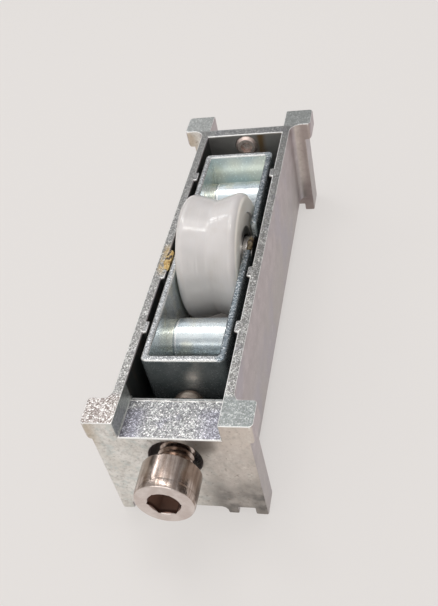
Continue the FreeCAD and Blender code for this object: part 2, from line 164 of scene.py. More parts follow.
def turn_outline(name, outline, centre, axis, steps):
    """Turn a piece from an outline of (place along the axis, radius) pairs in millimetres."""
    points = [centre + axis * (along * MM) + UP * (radius * MM) for along, radius in outline]
    piece = draw_line(name, points)
    start_edit(piece)
    bpy.ops.mesh.spin(steps=steps, angle=2 * pi, center=centre, axis=axis)
    bpy.ops.mesh.select_all(action="SELECT")
    bpy.ops.mesh.remove_doubles(threshold=WELD)
    face_outwards()
    end_edit()
    return piece


def arc(along, radius, bend, start, end, count=6):
    """Points of a round corner on an outline, about (along, radius), from start to end in degrees."""
    turns = [radians(start + (end - start) * step / count) for step in range(count + 1)]
    return [(along + bend * cos(turn), radius + bend * sin(turn)) for turn in turns]


def thread_rod(name, start, radius, pitch, length):
    """A right-hand threaded rod along Y from its start, cut square at both ends."""
    depth = 0.6 * pitch
    lead_in = 2.5 * pitch
    spare_turns = 6
    steps = 40
    # One turn of the thread: place as a part of the pitch, and depth below the crest
    profile = [(0, depth), (0.08, depth), (0.45, 0), (0.55, 0), (0.92, depth), (1, depth)]
    points = [Vector(((radius - drop) * MM, place * pitch * MM, 0)) for place, drop in profile]
    piece = draw_line(name, points)
    apply_modifier(
        piece, "SCREW", axis="Y", angle=2 * pi, screw_offset=pitch * MM,
        iterations=int(length / pitch) + spare_turns, steps=steps, render_steps=steps,
        use_merge_vertices=True, merge_threshold=WELD,
    )
    piece.location = start - Vector((0, lead_in * MM, 0))
    settle(piece)
    start_edit(piece)
    bpy.ops.mesh.remove_doubles(threshold=WELD)
    cut_flat(start, -ALONG)
    cut_flat(start + Vector((0, length * MM, 0)), ALONG)
    face_outwards()
    end_edit()
    return piece


def hex_cutter(mouth, width, depth):
    """A hexagonal plug along Y with a drill point, for cutting a socket from its mouth inwards."""
    corner = width / 3 ** 0.5
    clearance = 0.5
    point_height = 0.25 * corner
    point_size = 0.15
    long = depth + clearance
    bpy.ops.object.select_all(action="DESELECT")
    bpy.ops.mesh.primitive_cylinder_add(
        vertices=6, radius=corner * MM, depth=long * MM,
        location=mouth + Vector((0, (long / 2 - clearance) * MM, 0)),
        rotation=(radians(-90), radians(30), 0),
    )
    piece = name_piece("hex_key")
    settle(piece)
    start_edit(piece)
    choose(piece, "FACE", lambda face: face.normal.y > 0.9)
    bpy.ops.mesh.extrude_region_move(TRANSFORM_OT_translate={"value": (0, point_height * MM, 0)})
    point = mouth + Vector((0, (depth + point_height) * MM, 0))
    bpy.ops.transform.resize(value=(point_size, 1, point_size), center_override=point)
    end_edit()
    return piece


# Castings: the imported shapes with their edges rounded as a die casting's are

def cast_piece(node, name, edge_round, inner_corners):
    """A copy of a packed casting with its loose triangles merged and its edges rounded."""
    sharp = radians(28)
    flat = radians(0.6)
    piece = bpy.data.objects.new(name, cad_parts[node].data.copy())
    piece.data.name = name
    bpy.context.scene.collection.objects.link(piece)

    def rounded(edge):
        turn = edge.calc_face_angle_signed(0)
        return turn > sharp or (inner_corners and turn < -sharp)

    start_edit(piece)
    bpy.ops.mesh.remove_doubles(threshold=WELD)
    bpy.ops.mesh.customdata_custom_splitnormals_clear()
    bpy.ops.mesh.dissolve_limited(angle_limit=flat)
    choose(piece, "EDGE", rounded)
    bpy.ops.mesh.bevel(offset=edge_round * MM, segments=2, affect="EDGES", clamp_overlap=False)
    end_edit()
    smooth(piece, 40)
    apply_modifier(piece, "WEIGHTED_NORMAL", mode="FACE_AREA", weight=100, keep_sharp=True)
    return piece


# Finishes

def tone(red, green, blue):
    """A colour as a screen shows it, from 0 to 255, in the renderer's linear values."""
    steps = [value / 255 for value in (red, green, blue)]
    linear = [step / 12.92 if step <= 0.04045 else ((step + 0.055) / 1.055) ** 2.4 for step in steps]
    return (*linear, 1.0)


class Wire:
    """One output of a finish's nodes, which sums can be written with."""

    def __init__(self, finish, socket):
        self.finish = finish
        self.socket = socket

    def maths(self, operation, first, second):
        return self.finish.node("ShaderNodeMath", {"operation": operation}, {0: first, 1: second})

    def __add__(self, other):
        return self.maths("ADD", self, other)

    def __radd__(self, other):
        return self.maths("ADD", other, self)

    def __sub__(self, other):
        return self.maths("SUBTRACT", self, other)

    def __rsub__(self, other):
        return self.maths("SUBTRACT", other, self)

    def __mul__(self, other):
        return self.maths("MULTIPLY", self, other)

    def __rmul__(self, other):
        return self.maths("MULTIPLY", other, self)

    def __pow__(self, other):
        return self.maths("POWER", self, other)

    def __abs__(self):
        return self.maths("ABSOLUTE", self, 0.0)


class Finish:
    """A material, or the world, made of nodes."""

    def __init__(self, name, tree=None):
        if tree is None:
            self.material = bpy.data.materials.new(name)
            self.material.use_nodes = True
            tree = self.material.node_tree
        self.tree = tree
        self.tree.nodes.clear()

    def feed(self, socket, value):
        if isinstance(value, Wire):
            self.tree.links.new(value.socket, socket)
        else:
            socket.default_value = value

    def pick(self, sockets, key):
        if isinstance(key, int):
            return sockets[key]
        return [socket for socket in sockets if key in (socket.identifier, socket.name)][0]

    def node(self, kind, settings=None, sockets=None, output=0):
        """Add one node: its settings first, then the values or links of its sockets."""
        made = self.tree.nodes.new(kind)
        for setting, value in (settings or {}).items():
            if setting == "stops":
                self.set_stops(made.color_ramp, value)
            else:
                setattr(made, setting, value)
        for key, value in (sockets or {}).items():
            self.feed(self.pick(made.inputs, key), value)
        return Wire(self, self.pick(made.outputs, output)) if made.outputs else made

    def set_stops(self, ramp, stops):
        while len(ramp.elements) < len(stops):
            ramp.elements.new(1.0)
        for element, (place, colour) in zip(ramp.elements, stops):
            element.position = place
            element.color = colour

    def coordinates(self, output="Object"):
        return self.node("ShaderNodeTexCoord", output=output)

    def split(self, vector):
        """The X, Y and Z of a vector."""
        return [self.node("ShaderNodeSeparateXYZ", None, {0: vector}, axis) for axis in "XYZ"]

    def places(self):
        """X, Y and Z on the object, in millimetres."""
        return [place * PER_MM for place in self.split(self.coordinates())]

    def facing(self):
        """X, Y and Z of the direction that the surface faces."""
        return self.split(self.coordinates("Normal"))

    def stretched(self, x, y, z):
        """Object coordinates with a scale for each axis, for streaks and turning lines."""
        sockets = {"Vector": self.coordinates(), "Scale": (x, y, z)}
        return self.node("ShaderNodeMapping", None, sockets)

    def noise(self, per_mm, detail=3.0, rough=0.55, vector=None):
        sockets = {
            "Vector": vector or self.coordinates(),
            "Scale": per_mm * PER_MM,
            "Detail": detail,
            "Roughness": rough,
        }
        return self.node("ShaderNodeTexNoise", None, sockets)

    def cell_values(self, per_mm):
        """A random number from 0 to 1 for each grain of the surface."""
        sockets = {"Vector": self.coordinates(), "Scale": per_mm * PER_MM}
        cells = self.node("ShaderNodeTexVoronoi", None, sockets, "Color")
        return self.node("ShaderNodeSeparateColor", None, {0: cells})

    def step(self, value, low, high):
        """A soft step from 0 at low to 1 at high, in either order."""
        if low > high:
            return 1.0 - self.step(value, high, low)
        settings = {"interpolation_type": "SMOOTHSTEP"}
        return self.node("ShaderNodeMapRange", settings, {0: value, 1: low, 2: high, 3: 0.0, 4: 1.0})

    def between(self, value, low, high, soft):
        """1 between low and high, with soft ends outside them."""
        return self.step(value, low - soft, low) * self.step(value, high + soft, high)

    def ramp(self, value, *stops):
        return self.node("ShaderNodeValToRGB", {"stops": stops}, {0: value})

    def mix(self, factor, first, second):
        sockets = {"Factor_Float": factor, "A_Color": first, "B_Color": second}
        return self.node("ShaderNodeMix", {"data_type": "RGBA"}, sockets, "Result_Color")

    def blend(self, value, low, high, first, second):
        """A colour that goes from the first to the second as the value goes from low to high."""
        return self.mix(self.step(value, low, high), first, second)

    def paint(self, base, *coats):
        """Lay coats over a base, in order, each given as where it lies and its colour."""
        for where, colour in coats:
            base = self.mix(where, base, colour)
        return base

    def bump(self, height, strength, distance):
        sockets = {"Height": height, "Strength": strength, "Distance": distance * MM}
        return self.node("ShaderNodeBump", None, sockets)

    def surface(self, **sockets):
        """Finish with the shader, whose sockets are named with spaces written as underscores."""
        named = {key.replace("_", " "): value for key, value in sockets.items()}
        shader = self.node("ShaderNodeBsdfPrincipled", None, named)
        self.node("ShaderNodeOutputMaterial", None, {"Surface": shader})
        return self.material


def sparkle(finish):
    """Bright and dark grains of a cast zinc surface, from 0 to 1."""
    coarse = finish.cell_values(4.0)
    fine = finish.cell_values(7.2)
    cloud = finish.noise(1.1, 3.0, 0.6)
    return coarse * 0.4 + fine * 0.4 + cloud * 0.2


def make_housing_zinc():
    finish = Finish("housing_zinc")
    x, y, z = finish.places()
    nx, ny, nz = finish.facing()
    aside = abs(x)
    upward = finish.step(nz, 0.55, 0.85)
    frontward = finish.step(ny, -0.55, -0.85)
    backward = finish.step(ny, 0.55, 0.85)
    front_end = finish.step(y, -35.0, -36.5)
    back_end = finish.step(y, 43.0, 44.5)
    left = finish.step(x, -6.5, -9.5)
    right = finish.step(x, 6.5, 9.5)
    between_walls = finish.step(aside, 8.78, 8.66)
    grains = sparkle(finish)
    fine = finish.noise(3.0, 3.0, 0.6)
    mottle = finish.noise(0.2, 5.0, 0.6)
    pits = finish.step(finish.noise(1.6, 4.0, 0.7), 0.44, 0.66)
    cool = finish.step(finish.noise(0.5, 3.0, 0.6), 0.48, 0.66)

    # Tops: grey grain with bright crystals, tinted where the plating is thicker
    plain = finish.ramp(
        grains,
        (0.26, tone(108, 108, 110)),
        (0.45, tone(146, 146, 147)),
        (0.62, tone(170, 170, 170)),
        (0.75, tone(248, 248, 246)),
    )
    smooth_grey = finish.ramp(
        grains,
        (0.25, tone(130, 135, 134)),
        (0.60, tone(152, 157, 156)),
        (0.80, tone(196, 198, 198)),
    )
    pale_grey = finish.ramp(
        grains,
        (0.25, tone(180, 184, 182)),
        (0.60, tone(206, 210, 208)),
        (0.80, tone(240, 242, 241)),
    )
    warm = finish.ramp(
        grains,
        (0.28, tone(112, 100, 94)),
        (0.46, tone(166, 157, 153)),
        (0.60, tone(192, 185, 181)),
        (0.74, tone(250, 248, 246)),
    )
    lavender = finish.ramp(
        grains,
        (0.30, tone(106, 105, 114)),
        (0.58, tone(140, 139, 150)),
        (0.78, tone(214, 214, 226)),
    )
    ledge = finish.step(z, 21.6, 21.2) * front_end
    cloud = finish.noise(0.25, 3.0)
    stain = finish.between(y, -4.6, 0.6, 2.5) * finish.between(x, -9.4, -8.0, 0.7)
    stain = stain * finish.step(finish.noise(0.6, 3.0, 0.6), 0.36, 0.56)
    top = finish.paint(
        plain,
        (finish.step(cloud, 0.56, 0.68) * 0.6, lavender),
        (finish.step(aside, 8.3, 8.6) * 0.22, tone(136, 129, 116)),
        (finish.step(y, -5.0, 40.0) * 0.45, tone(148, 149, 148)),
        (stain * 0.55, tone(214, 182, 118)),
        (front_end * left, warm),
        (front_end * right * 0.9, smooth_grey),
        (ledge * finish.step(x, -4.0, -6.5) * 0.9, lavender),
        (ledge * finish.step(x, 3.0, 6.5) * 0.8, lavender),
        (back_end * 0.7, pale_grey),
        (back_end * right * 0.4, smooth_grey),
    )

    # Faces to the front: pale cast skin with soft clouds, with painted shade that darkens it towards the
    # right and most low on the right
    blotch = finish.noise(0.9, 4.0, 0.65)
    ear = finish.step(x, 6.0, 9.0) * finish.step(z, 16.0, 20.0)
    # Painted shade low on the right, broken up by the clouds
    shade = finish.step(x, 1.0, 8.0) * finish.step(z, 13.0, 5.0)
    shade = shade * (0.35 + 0.65 * finish.step(mottle, 0.62, 0.36))
    # Painted shade on the face beside the screw head
    beside_screw = (x - 5.0) ** 2.0 + (z - 19.2) ** 2.0
    speck = finish.step(finish.noise(1.3, 3.0, 0.6), 0.63, 0.72)
    brown = finish.step(x, -11.0, -13.6) * finish.step(z, 16.0, 21.0)
    foot = finish.step(z, 3.2, 0.2)
    front = finish.paint(
        finish.blend(mottle, 0.35, 0.65, tone(228, 225, 219), tone(243, 241, 237)),
        (cool * 0.6, tone(206, 213, 211)),
        (pits * 0.42, tone(192, 188, 181)),
        # Painted shade towards the right, lifted again on the ear above
        (finish.step(x, -2.0, 9.0) * 0.65, tone(200, 188, 179)),
        (ear * 0.5, tone(230, 219, 209)),
        (finish.step(blotch, 0.50, 0.70) * 0.35, tone(170, 163, 155)),
        (finish.step(blotch, 0.46, 0.30) * 0.35, tone(244, 240, 232)),
        (shade * 0.95, tone(100, 98, 96)),
        # painted shade beside the screw head
        (finish.step(beside_screw, 10.0, 0.5) * 0.75, tone(120, 112, 106)),
        (speck * 0.5, tone(126, 110, 96)),
        (brown * finish.step(mottle, 0.34, 0.56) * 0.6, tone(186, 164, 132)),
        (foot * finish.step(mottle, 0.36, 0.6) * 0.6, tone(118, 110, 104)),
        # Painted shade on the rear plate's faces to the front, on the right
        (back_end * right * 0.85, tone(168, 152, 150)),
    )

    # Sides: smooth pinkish grey with lavender clouds, greyer towards the lower edge
    drawn = finish.noise(0.3, 4.0, 0.6, finish.stretched(1.0, 0.8, 1.0))
    patch = finish.noise(0.08, 3.0, 0.55)
    scuff = finish.noise(1.2, 3.0, 0.6, finish.stretched(1.0, 0.5, 0.5))
    side = finish.paint(
        finish.blend(drawn, 0.32, 0.68, tone(186, 176, 178), tone(202, 192, 194)),
        (finish.step(z, 21.0, 8.0) * 0.6, tone(188, 184, 180)),
        (finish.step(patch, 0.48, 0.66) * 0.55, tone(184, 178, 189)),
        (finish.step(fine, 0.48, 0.68) * 0.3, tone(164, 154, 158)),
        (finish.step(scuff, 0.60, 0.72) * 0.3, tone(222, 216, 215)),
    )

    # Faces to the back: the same cast skin as in front, in a darker grey as a painted shaded copy
    back = finish.paint(
        finish.blend(mottle, 0.35, 0.65, tone(194, 189, 187), tone(220, 215, 212)),
        (cool * 0.5, tone(184, 191, 191)),
        (pits * 0.45, tone(158, 152, 148)),
    )

    # Trough: painted shade darkens it, with old oil in streaks; the painted shade is lighter on the rear
    # wall
    inside = between_walls * finish.step(z, 23.75, 23.5)
    inside = inside * finish.step(y, -33.4, -33.0) * finish.step(y, 41.6, 41.3)
    oil = finish.noise(0.3, 3.0, 0.6, finish.stretched(1.0, 1.0, 0.3))
    oil_and_shade = finish.ramp(
        oil,
        (0.32, tone(74, 78, 79)),
        (0.55, tone(96, 98, 97)),
        (0.72, tone(126, 106, 88)),
    )
    rear_wall = finish.step(y, 40.6, 41.0)
    streak = finish.between(x, 3.3, 3.7, 1.3) * rear_wall
    oil_and_shade = finish.paint(
        oil_and_shade,
        # Lighter painted shade on the rear wall inside
        (rear_wall * 0.8, tone(186, 182, 180)),
        (streak * (0.3 + 0.7 * finish.step(oil, 0.35, 0.6)), tone(150, 122, 90)),
    )

    # Edges worn bright, partly a painted highlight, and the pale cheeks of the front ears above the ledge
    wear_and_highlight = finish.step(nz, 0.12, 0.30) * finish.step(nz, 0.985, 0.94) * finish.step(nx, 0.55, 0.30)
    wear_and_highlight = wear_and_highlight * finish.step(z, 20.0, 20.3) * finish.step(finish.noise(1.4, 3.0, 0.65), 0.28, 0.42)
    cheek = between_walls * finish.step(y, -33.0, -33.4)
    cheek = cheek * finish.step(z, 20.5, 20.6) * finish.step(nz, 0.55, 0.3)
    cheek_grey = finish.blend(fine, 0.4, 0.65, tone(196, 202, 199), tone(232, 234, 232))

    colour = finish.paint(
        side,
        (backward, back),
        (frontward, front),
        (upward, top),
        (wear_and_highlight, tone(252, 251, 249)),
        (cheek, cheek_grey),
        (inside, oil_and_shade),
    )
    rough = 0.44 + frontward * (0.06 + pits * 0.08) - upward * (0.16 - 0.16 * grains) - inside * 0.08
    height = grains * (0.25 + upward * 0.75) + fine * 0.35 - pits * frontward * 0.3
    return finish.surface(
        Base_Color=colour, Metallic=0.85 - wear_and_highlight * 0.7, Roughness=rough,
        Normal=finish.bump(height, 0.22, 0.10),
    )


def make_carriage_zinc():
    finish = Finish("carriage_zinc")
    x, y, z = finish.places()
    upward = finish.facing()[2]
    aside = abs(x)
    rim = finish.step(upward, 0.30, 0.55) * finish.step(z, 23.4, 23.7)
    outer = finish.step(aside, 6.9, 7.2) + finish.step(y, -27.6, -27.9)
    outer = finish.step(outer, 0.3, 0.7) * finish.step(z, 23.8, 23.4)
    right = finish.step(x, 5.6, 6.2)
    grains = sparkle(finish)
    cloud = finish.noise(0.35, 3.0)
    speck = finish.step(finish.noise(2.2, 3.0, 0.7), 0.56, 0.70)

    # Bars and inner walls: pale blue-grey plating with yellow patches, a seam round each bar with a
    # painted highlight along its step, a painted sheen on top of the left stub, and a painted reflection
    # on the rear wall
    yellow = finish.step(finish.noise(0.22, 2.0), 0.52, 0.66)
    lines = finish.noise(3.0, 3.0, 0.6, finish.stretched(0.12, 1.0, 1.0))
    # Painted sheen on the upper side of the left stub
    stub_sheen = finish.step(x, -4.4, -4.7) * finish.step(upward, 0.2, 0.9)
    bars = finish.step(aside, 6.2, 6.0) * finish.step(z, 20.4, 20.0)
    # Painted highlight along the step of the seam
    seam_highlight = bars * finish.between(x, -4.62, -4.30, 0.08)
    dark_seam = bars * finish.between(x, -4.90, -4.74, 0.08)
    # Painted reflection of the bar's light on the rear wall inside
    tail = finish.step(y, 31.0, 31.6)
    tail_cloud = finish.noise(0.16, 1.0)
    clean = finish.paint(
        finish.blend(cloud, 0.35, 0.65, tone(202, 212, 217), tone(220, 227, 229)),
        (yellow * 0.45, tone(216, 212, 188)),
        (speck * 0.35, tone(150, 160, 164)),
        (finish.step(lines, 0.54, 0.70) * 0.35, tone(140, 150, 156)),
        (stub_sheen * 0.5, tone(226, 219, 190)),
        (seam_highlight, tone(252, 252, 252)),
        (dark_seam * 0.7, tone(120, 136, 146)),
        (tail * 0.9, finish.blend(tail_cloud, 0.30, 0.70, tone(218, 236, 238), tone(240, 246, 236))),
    )

    # Outer walls: smooth, with painted shade where they stand in the housing's trough
    dark = finish.blend(cloud, 0.35, 0.65, tone(146, 158, 160), tone(170, 178, 180))

    # Rim: bright grain, bluer and darker on the right wall with painted shade, and a painted highlight on
    # its rounded edges
    grey_top = finish.ramp(
        grains,
        (0.24, tone(124, 126, 128)),
        (0.45, tone(166, 168, 170)),
        (0.62, tone(192, 194, 195)),
        (0.78, tone(244, 244, 244)),
    )
    shaded_blue_top = finish.ramp(
        grains,
        (0.26, tone(92, 104, 112)),
        (0.50, tone(124, 136, 144)),
        (0.66, tone(156, 166, 172)),
        (0.78, tone(236, 238, 240)),
    )
    # Painted highlight on the rim's rounded edges
    edge = rim * finish.step(upward, 0.97, 0.86) * (1.0 - right)
    colour = finish.paint(
        clean,
        (outer, dark),
        (rim, finish.mix(right * 0.85, grey_top, shaded_blue_top)),
        (edge * 0.7, tone(242, 242, 240)),
    )
    height = finish.noise(0.8, 4.0, 0.6) + grains * rim * 0.6
    return finish.surface(
        Base_Color=colour, Metallic=0.82 - outer * 0.12 - tail * (1.0 - outer) * 0.5,
        Roughness=0.20 + cloud * 0.10 + speck * 0.08, Normal=finish.bump(height, 0.14, 0.12),
    )


def make_screw_steel(mouth, head_radius):
    """Bright drawn steel, with painted shade in the socket that opens at the mouth of the head."""
    finish = Finish("screw_steel")
    x, y, z = finish.places()
    behind_mouth = y - mouth.y / MM
    above = z - mouth.z / MM
    from_axis = (x * x + above * above) ** 0.5
    socket = finish.step(from_axis, 0.66 * head_radius, 0.62 * head_radius)
    socket = socket * finish.step(behind_mouth, 0.02, 0.12) * finish.step(behind_mouth, 5.6, 5.0)
    face = finish.step(behind_mouth, 0.14, 0.08)
    lip = finish.step(behind_mouth, 0.9, 0.4)
    band = finish.between(behind_mouth, 0.15, 1.2, 0.4) * (1.0 - socket)
    thread = finish.step(behind_mouth, 6.1, 6.4)
    cloud = finish.noise(0.5, 3.0)
    streak = finish.noise(1.1, 3.0, 0.6, finish.stretched(1.0, 0.06, 1.0))
    colour = finish.paint(
        finish.blend(cloud, 0.3, 0.7, tone(178, 162, 152), tone(200, 187, 179)),
        (finish.step(streak, 0.44, 0.62) * 0.65, tone(130, 110, 98)),
        (face, finish.blend(cloud, 0.3, 0.7, tone(208, 195, 189), tone(224, 214, 209))),
        # Painted shade in the socket
        (socket, finish.mix(lip, tone(180, 161, 152), tone(124, 101, 93))),
    )
    lines = finish.noise(5.0, 2.0, 0.6, finish.stretched(0.05, 1.0, 0.05))
    pebble = finish.noise(1.8, 3.0, 0.6)
    height = lines * (0.5 + thread * 1.5) + pebble * (0.5 + band * 6.0)
    return finish.surface(
        Base_Color=colour, Metallic=1.0, Roughness=0.16 + lines * 0.10 + socket * 0.16,
        Normal=finish.bump(height, 0.12, 0.10),
    )


def make_turned_steel(name, light, dark, rough, lines_along, metal=1.0):
    """Turned or ground steel with fine lines round the given axis."""
    finish = Finish(name)
    scale = [1.0 if axis == lines_along else 0.04 for axis in "XYZ"]
    lines = finish.noise(6.0, 3.0, 0.6, finish.stretched(*scale))
    cloud = finish.noise(0.6, 3.0)
    return finish.surface(
        Base_Color=finish.mix(lines * 0.5 + cloud * 0.5, dark, light), Metallic=metal,
        Roughness=rough + lines * 0.15, Normal=finish.bump(lines, 0.15, 0.05),
    )


def make_wheel_plastic():
    """White turned plastic, with painted light making its flat sides paler."""
    finish = Finish("wheel_plastic")
    lines = finish.noise(3.5, 3.0, 0.6, finish.stretched(1.0, 0.02, 0.02))
    grooves = finish.noise(1.7, 2.0, 0.5, finish.stretched(1.0, 0.01, 0.01))
    cloud = finish.noise(0.12, 2.0)
    smear = finish.step(finish.noise(0.3, 3.0), 0.60, 0.72)
    painted_light_sides = finish.step(abs(finish.facing()[0]), 0.75, 0.95)
    white = finish.paint(
        finish.blend(cloud, 0.35, 0.65, tone(211, 207, 205), tone(220, 216, 215)),
        (finish.step(lines, 0.5, 0.75) * 0.10, tone(206, 200, 196)),
        (smear * 0.12, tone(196, 184, 172)),
        # Painted light on the flat sides
        (painted_light_sides, tone(252, 247, 238)),
    )
    return finish.surface(
        Base_Color=white, Roughness=0.11 + lines * 0.08, Normal=finish.bump(grooves, 0.42, 0.15),
        Subsurface_Weight=0.25, Subsurface_Radius=(1.0, 0.9, 0.8), Subsurface_Scale=1.2 * MM,
    )


def make_cage_plastic():
    finish = Finish("cage_plastic")
    cloud = finish.noise(0.8, 4.0)
    return finish.surface(
        Base_Color=finish.mix(cloud, tone(58, 54, 50), tone(92, 88, 82)),
        Roughness=0.45 + cloud * 0.2, Normal=finish.bump(finish.noise(3.0, 3.0), 0.2, 0.05),
    )


def make_grease(name, dark, middle, light, pale):
    finish = Finish(name)
    cloud = finish.noise(0.9, 4.0, 0.6)
    dirt = finish.step(finish.noise(0.9, 2.0), 0.55, 0.61)
    clean = finish.ramp(cloud, (0.30, dark), (0.44, middle), (0.58, light), (0.74, pale))
    return finish.surface(
        Base_Color=finish.mix(dirt, clean, tone(58, 38, 18)), Roughness=0.22 + cloud * 0.2,
        Normal=finish.bump(finish.noise(1.8, 3.0), 0.5, 0.15), Coat_Weight=0.4,
    )


# Pieces

def place_piece(piece, body, slot, finish, *nodes):
    """Give a piece its finish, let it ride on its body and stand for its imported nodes."""
    piece.data.materials.clear()
    piece.data.materials.append(finish)
    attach(piece, body)
    if nodes:
        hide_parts(*nodes)


def lying_along(low, high):
    """Start, radius and length of a round piece that lies along Y between two corners."""
    middle = (low + high) / 2
    start = Vector((middle.x, low.y, middle.z))
    return start, (high.x - low.x) / 2 / MM, (high.y - low.y) / MM


def lying_across(low, high):
    """Centre, radius and half width of a round piece that lies along X between two corners."""
    return (low + high) / 2, (high.z - low.z) / 2 / MM, (high.x - low.x) / 2 / MM


def make_adjusting_screw():
    low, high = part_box("adjusting_screw")
    tip_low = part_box("screw_thrust_tip")[0]
    mouth, head_radius, length = lying_along(low, high)
    head_length = 6.0
    thread_radius = 3.0
    core_radius = 2.3
    pitch = 1.0
    steps = 72

    # Head with a rounded shoulder, a neck, and a core that reaches into the threaded rod
    face_radius = head_radius - 0.28
    front_edge = 0.1
    shoulder_bend = 2.0
    shoulder_turn = 22
    shoulder_end = front_edge + shoulder_bend * sin(radians(shoulder_turn))
    back_bend = 0.25
    neck = 0.3
    neck_radius = thread_radius - 0.05
    core_end = head_length + 1.4
    outline = [(0, 0), (0, face_radius)]
    outline += arc(shoulder_end, head_radius - shoulder_bend, shoulder_bend, 90 + shoulder_turn, 90)
    outline += arc(head_length - back_bend, head_radius - back_bend, back_bend, 90, 0)
    outline += arc(head_length + neck, neck_radius + neck, neck, 180, 270)
    outline += [(head_length + neck, neck_radius), (core_end, core_radius), (core_end, 0)]
    screw = turn_outline("adjusting_screw_turned", outline, mouth, ALONG, steps)

    # Threaded rod with a tapered end
    overlap = 0.2
    rod_start = mouth + ALONG * ((head_length + neck - overlap) * MM)
    rod_length = length - head_length - neck + overlap
    rod = thread_rod("thread", rod_start, thread_radius - 0.01, pitch, rod_length)
    past_end = rod_length + 0.1
    wide = 3.4
    taper = [(-0.5, 0), (-0.5, wide), (rod_length - 0.7, wide), (past_end, core_radius), (past_end, 0)]
    cut_or_join(rod, turn_outline("envelope", taper, rod_start, ALONG, steps), "INTERSECT")

    # Socket with a conical mouth, the rod, and the hole for the tip's stem
    cone = [(-0.3, 0), (-0.3, 3.05), (0.3, 2.45), (0.3, 0)]
    cut_or_join(screw, turn_outline("mouth_cone", cone, mouth, ALONG, steps), "DIFFERENCE")
    cut_or_join(screw, hex_cutter(mouth, 5.0, 3.6), "DIFFERENCE")
    cut_or_join(screw, rod, "UNION")
    hole_depth = (high.y - tip_low.y) / MM + 0.05
    hole_radius = 1.55
    drill = [(-hole_depth - 0.4, 0), (-hole_depth, hole_radius), (0.5, hole_radius), (0.5, 0)]
    end = Vector((mouth.x, high.y, mouth.z))
    cut_or_join(screw, turn_outline("stem_drill", drill, end, ALONG, 48), "DIFFERENCE")
    merge_slivers(screw)
    smooth(screw)
    finish = make_screw_steel(mouth, head_radius)
    place_piece(screw, "screw", "screw_steel", finish, "adjusting_screw")


def make_rear_set_screw():
    low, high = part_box("rear_set_screw")
    mouth, radius, length = lying_along(low, high)
    pitch = 0.8
    chamfer = 0.55
    crest = radius + 0.02
    rod = thread_rod("rear_set_screw_turned", mouth, radius, pitch, length)
    outline = [
        (0, 0), (0, radius - chamfer), (chamfer, crest),
        (length - chamfer, crest), (length, radius - chamfer), (length, 0),
    ]
    cut_or_join(rod, turn_outline("envelope", outline, mouth, ALONG, 48), "INTERSECT")
    cut_or_join(rod, hex_cutter(mouth, 2.5, 1.3), "DIFFERENCE")
    smooth(rod)
    finish = make_turned_steel("set_screw_steel", tone(244, 228, 222), tone(212, 190, 180), 0.20, "Y", 0.7)
    place_piece(rod, "housing", "set_screw_steel", finish, "rear_set_screw")


def make_wheel():
    low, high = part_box("wheel")
    centre, rim, half = lying_across(low, high)
    bore = 6.01
    hub = 8.2
    recess = 0.5
    hub_bend = 0.2
    rim_bend = 1.4
    groove = rim - 1.3
    groove_slope = 1.246 / 4.114
    groove_bend = 0.35
    right = [(half - recess, bore), (half - recess, hub - 0.3)]
    right += arc(half - 0.25, hub + hub_bend, hub_bend, 180, 90, 3)
    right += [(half - 0.02, hub + 0.5), (half, hub + 0.8)]
    right += arc(half - rim_bend, rim - rim_bend, rim_bend, 0, 106, 12)
    right += [(groove_bend, groove + groove_slope * groove_bend)]
    left = [(-along, radius) for along, radius in reversed(right)]
    outline = right + [(0, groove + 0.02)] + left + [right[0]]
    wheel = turn_outline("wheel_turned", outline, centre, ACROSS, 160)
    smooth(wheel, 30)
    place_piece(wheel, "wheel", "wheel_plastic", make_wheel_plastic(), "wheel")


def make_axle():
    low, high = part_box("axle")
    centre, radius, half = lying_across(low, high)
    bend = 0.45
    right = [(half, 0), (half, radius - bend - 0.2)] + arc(half - bend, radius - bend, bend, 0, 90)
    left = [(-along, place) for along, place in reversed(right)]
    axle = turn_outline("axle_ground", right + left, centre, ACROSS, 96)
    smooth(axle)
    finish = make_turned_steel("axle_steel", tone(214, 211, 208), tone(176, 172, 168), 0.18, "X")
    place_piece(axle, "carriage", "axle_steel", finish, "axle")


def make_thrust_tip():
    low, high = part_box("screw_thrust_tip")
    start, radius, length = lying_along(low, high)
    stem = 1.5
    shoulder = 3.05
    # Places past the shoulder and before the end, with how far each lies below the full radius
    collar = [(0, 0.2), (0.2, 0), (0.7, 0), (0.8, 0.12), (1.0, 0.12)]
    nose = [(1.85, 0.16), (1.4, 0.34), (0.95, 0.62), (0.55, 0.96), (0.22, 1.34), (0, 1.75)]
    outline = [(0, 0), (0, stem), (shoulder, stem)]
    outline += [(shoulder + past, radius - drop) for past, drop in collar]
    outline += [(length - before, radius - drop) for before, drop in nose]
    outline += [(length, 0)]
    tip = turn_outline("screw_thrust_tip_turned", outline, start, ALONG, 72)
    smooth(tip)
    finish = make_turned_steel("tip_steel", tone(240, 218, 204), tone(180, 154, 140), 0.10, "Y", 0.9)
    place_piece(tip, "screw_tip", "tip_steel", finish, "screw_thrust_tip")


place_piece(
    cast_piece("housing", "housing_casting", 0.28, True),
    "housing", "housing_zinc", make_housing_zinc(), "housing",
)
place_piece(
    cast_piece("carriage", "carriage_casting", 0.14, False),
    "carriage", "carriage_zinc", make_carriage_zinc(), "carriage",
)
make_adjusting_screw()
make_rear_set_screw()
make_wheel()
make_axle()
make_thrust_tip()


# Flash left by the die on the ledge, and grease

